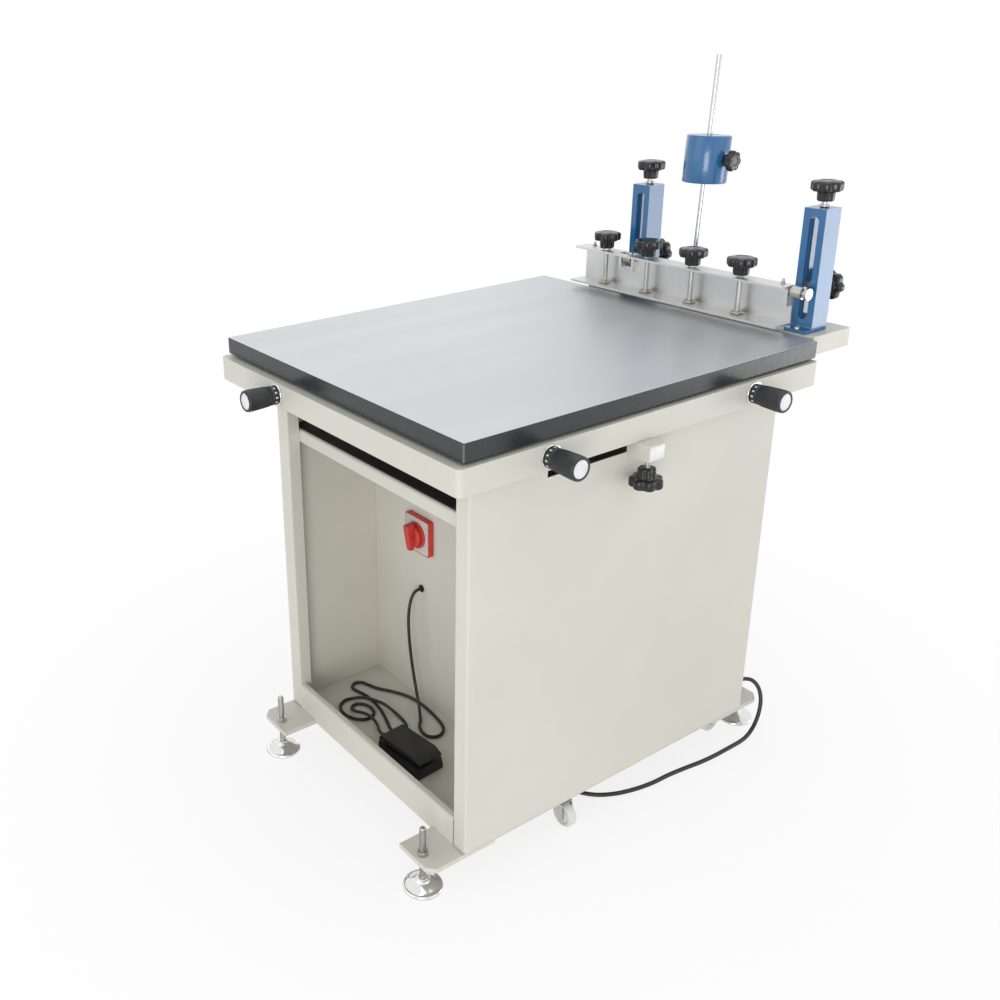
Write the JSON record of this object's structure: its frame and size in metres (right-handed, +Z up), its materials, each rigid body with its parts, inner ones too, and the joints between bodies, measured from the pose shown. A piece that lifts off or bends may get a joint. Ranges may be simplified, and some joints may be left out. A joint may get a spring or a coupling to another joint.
{
  "type": "screen printing vacuum table",
  "caption": "Screen printing table with a vacuum bed on a floor cabinet, fine bed adjusters, and a hinged screen clamp on height posts with a counterweight.",
  "frame": {"origin": "middle of the machine's outline at floor level", "axes": "+X to the operator's right, +Y away from the operator to the hinged clamp, +Z up"},
  "size_m": [0.676, 0.872, 1.1139],
  "materials": {
    "cream_paint": "smooth powder coat, cream white",
    "bed_metal": "satin, with dark edges",
    "blue_enamel": "glossy blue enamel",
    "black_plastic": "moulded black plastic",
    "zinc_steel": "zinc plated",
    "channel_aluminium": "extruded, matt",
    "foot_chrome": "polished",
    "wheel_plastic": "white nylon",
    "red_plastic": "red moulded handle",
    "cable_rubber": "black cable sheath"
  },
  "bodies": {
    "stand": {"top_frame": "cream_paint", "cabinet_left_side": "cream_paint", "cabinet_right_side": "cream_paint", "cabinet_rear_panel": "cream_paint", "base_plate": "cream_paint", "compartment_back_panel": "cream_paint", "front_rail": "cream_paint", "upper_strip": "cream_paint", "foot_rail_left": "cream_paint", "foot_rail_right": "cream_paint", "levelling_foot_left_front": "foot_chrome", "levelling_foot_left_rear": "foot_chrome", "levelling_foot_right_front": "foot_chrome", "levelling_foot_right_rear": "foot_chrome", "rear_beam": "cream_paint", "hinge_post_left": "blue_enamel", "hinge_post_right": "blue_enamel", "table_lock_bracket": "cream_paint", "switch_plate": "black_plastic", "cable_grommet": "black_plastic", "cord_gland": "black_plastic", "pedal_base": "black_plastic", "pedal_cable": "cable_rubber", "power_cord": "cable_rubber", "cord_coil": "cable_rubber", "cord_plug": "black_plastic"},
    "carriage": {"bed_carriage": "zinc_steel"},
    "bed": {"vacuum_bed": "bed_metal"},
    "front_adjuster": {"adjuster_front": "black_plastic"},
    "right_front_adjuster": {"adjuster_right_front": "black_plastic"},
    "right_rear_adjuster": {"adjuster_right_rear": "black_plastic"},
    "table_lock": {"table_lock_knob": "black_plastic"},
    "lift": {"height_slider_left": "zinc_steel", "height_slider_right": "zinc_steel", "slider_lock_knob_left": "black_plastic", "slider_lock_knob_right": "black_plastic"},
    "clamp": {"clamp_channel": "channel_aluminium", "counter_rod": "zinc_steel"},
    "weight": {"counterweight": "blue_enamel", "counterweight_knob": "black_plastic"},
    "screw_1": {"clamp_screw_1": "black_plastic"},
    "screw_2": {"clamp_screw_2": "black_plastic"},
    "screw_3": {"clamp_screw_3": "black_plastic"},
    "screw_4": {"clamp_screw_4": "black_plastic"},
    "left_height_screw": {"height_knob_left": "black_plastic", "lead_screw_left": "zinc_steel"},
    "right_height_screw": {"height_knob_right": "black_plastic", "lead_screw_right": "zinc_steel"},
    "switch": {"switch_handle": "red_plastic"},
    "treadle": {"pedal_treadle": "black_plastic"},
    "caster_left_front": {"caster_left_front_fork": "zinc_steel"},
    "caster_left_front_roller": {"caster_left_front_wheel": "wheel_plastic"},
    "caster_left_rear": {"caster_left_rear_fork": "zinc_steel"},
    "caster_left_rear_roller": {"caster_left_rear_wheel": "wheel_plastic"},
    "caster_right_front": {"caster_right_front_fork": "zinc_steel"},
    "caster_right_front_roller": {"caster_right_front_wheel": "wheel_plastic"},
    "caster_right_rear": {"caster_right_rear_fork": "zinc_steel"},
    "caster_right_rear_roller": {"caster_right_rear_wheel": "wheel_plastic"}
  },
  "joints": [
    {"name": "bed_y", "type": "slide", "parent": "stand", "child": "carriage", "axis": [0, 1, 0], "range_m": [-0.01, 0]},
    {"name": "bed_x", "type": "slide", "parent": "carriage", "child": "bed", "axis": [1, 0, 0], "range_m": [-0.008, 0.008]},
    {"name": "adjuster_front_turn", "type": "hinge", "parent": "stand", "child": "front_adjuster", "pos_m": [-0.16, -0.376, 0.654], "axis": [0, -1, 0], "continuous": true},
    {"name": "adjuster_right_front_turn", "type": "hinge", "parent": "stand", "child": "right_front_adjuster", "pos_m": [0.278, -0.224, 0.654], "axis": [1, 0, 0], "continuous": true},
    {"name": "adjuster_right_rear_turn", "type": "hinge", "parent": "stand", "child": "right_rear_adjuster", "pos_m": [0.278, 0.184, 0.654], "axis": [1, 0, 0], "continuous": true},
    {"name": "table_lock_turn", "type": "hinge", "parent": "stand", "child": "table_lock", "pos_m": [0.291, -0.052, 0.6], "axis": [0, 0, 1], "continuous": true},
    {"name": "clamp_lift", "type": "slide", "parent": "stand", "child": "lift", "axis": [0, 0, 1], "range_m": [0, 0.09]},
    {"name": "clamp_swing", "type": "hinge", "parent": "lift", "child": "clamp", "pos_m": [0, 0.339, 0.7715], "axis": [-1, 0, 0], "range_deg": [0, 60]},
    {"name": "counterweight_slide", "type": "slide", "parent": "clamp", "child": "weight", "axis": [0, 0.0523, 0.9986], "range_m": [-0.085, 0.12]},
    {"name": "clamp_screw_1_lift", "type": "slide", "parent": "clamp", "child": "screw_1", "axis": [0, 0, 1], "range_m": [0, 0.03]},
    {"name": "clamp_screw_2_lift", "type": "slide", "parent": "clamp", "child": "screw_2", "axis": [0, 0, 1], "range_m": [0, 0.03]},
    {"name": "clamp_screw_3_lift", "type": "slide", "parent": "clamp", "child": "screw_3", "axis": [0, 0, 1], "range_m": [0, 0.03]},
    {"name": "clamp_screw_4_lift", "type": "slide", "parent": "clamp", "child": "screw_4", "axis": [0, 0, 1], "range_m": [0, 0.03]},
    {"name": "height_knob_left_turn", "type": "hinge", "parent": "stand", "child": "left_height_screw", "pos_m": [-0.1185, 0.3765, 0.9073], "axis": [0, 0, 1], "continuous": true},
    {"name": "height_knob_right_turn", "type": "hinge", "parent": "stand", "child": "right_height_screw", "pos_m": [0.227, 0.3765, 0.9073], "axis": [0, 0, 1], "continuous": true},
    {"name": "switch_turn", "type": "hinge", "parent": "stand", "child": "switch", "pos_m": [-0.082, -0.1736, 0.386], "axis": [0, -1, 0], "range_deg": [0, 90]},
    {"name": "pedal_press", "type": "hinge", "parent": "stand", "child": "treadle", "pos_m": [0.0001, -0.28186, 0.0873], "axis": [-0.0698, 0.9976, 0], "range_deg": [0, 3], "stiffness_Nm_per_rad": 1, "springref_deg": -11.46},
    {"name": "caster_left_front_swivel", "type": "hinge", "parent": "stand", "child": "caster_left_front", "pos_m": [-0.176, -0.1335, 0.045], "axis": [0, 0, 1], "continuous": true},
    {"name": "caster_left_front_roll", "type": "hinge", "parent": "caster_left_front", "child": "caster_left_front_roller", "pos_m": [-0.2055, -0.1335, 0.0215], "axis": [0, 1, 0], "continuous": true},
    {"name": "caster_left_rear_swivel", "type": "hinge", "parent": "stand", "child": "caster_left_rear", "pos_m": [-0.176, 0.211, 0.045], "axis": [0, 0, 1], "continuous": true},
    {"name": "caster_left_rear_roll", "type": "hinge", "parent": "caster_left_rear", "child": "caster_left_rear_roller", "pos_m": [-0.176, 0.2405, 0.0215], "axis": [1, 0, 0], "continuous": true},
    {"name": "caster_right_front_swivel", "type": "hinge", "parent": "stand", "child": "caster_right_front", "pos_m": [0.22, -0.1335, 0.045], "axis": [0, 0, 1], "continuous": true},
    {"name": "caster_right_front_roll", "type": "hinge", "parent": "caster_right_front", "child": "caster_right_front_roller", "pos_m": [0.2495, -0.1335, 0.0215], "axis": [0, 1, 0], "continuous": true},
    {"name": "caster_right_rear_swivel", "type": "hinge", "parent": "stand", "child": "caster_right_rear", "pos_m": [0.22, 0.211, 0.045], "axis": [0, 0, 1], "continuous": true},
    {"name": "caster_right_rear_roll", "type": "hinge", "parent": "caster_right_rear", "child": "caster_right_rear_roller", "pos_m": [0.22, 0.2405, 0.0215], "axis": [1, 0, 0], "continuous": true}
  ]
}
